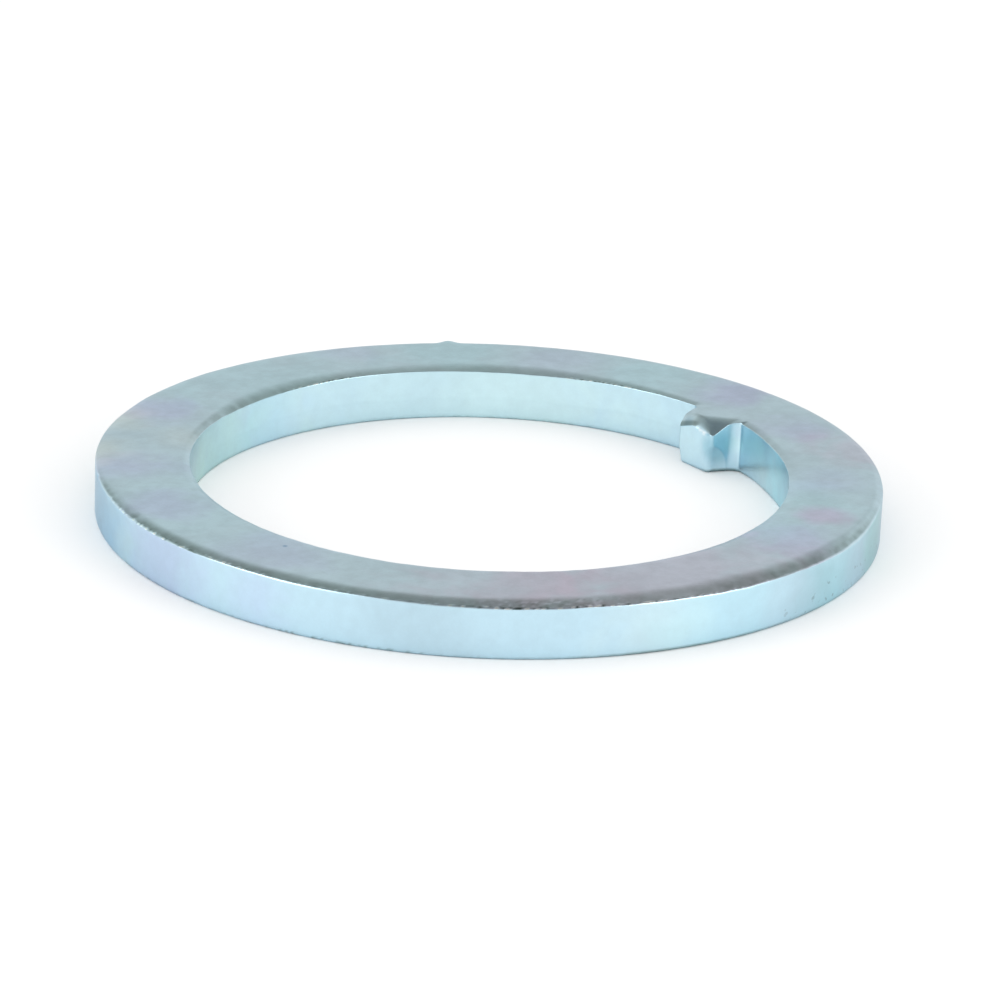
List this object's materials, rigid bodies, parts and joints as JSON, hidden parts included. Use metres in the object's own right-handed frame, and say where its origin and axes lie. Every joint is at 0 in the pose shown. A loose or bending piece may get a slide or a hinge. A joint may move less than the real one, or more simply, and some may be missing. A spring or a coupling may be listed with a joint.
{
  "type": "keyed headset washer",
  "caption": "Flat plated steel ring with a square key standing in from its bore, which keeps it from turning on a grooved threaded tube under a lock nut.",
  "frame": {"origin": "centre of the bore on the lower face, which the washer rests on", "axes": "+Z along the bore axis and out of the upper face, whose edges droop; +X from the origin through the middle of the key"},
  "size_m": [0.0335, 0.0334, 0.0023],
  "materials": {
    "zinc_plate": "zinc plate with a clear blue passivate, matt on the faces and smoother on the walls"
  },
  "bodies": {
    "root": {"washer": "zinc_plate"}
  },
  "joints": []
}
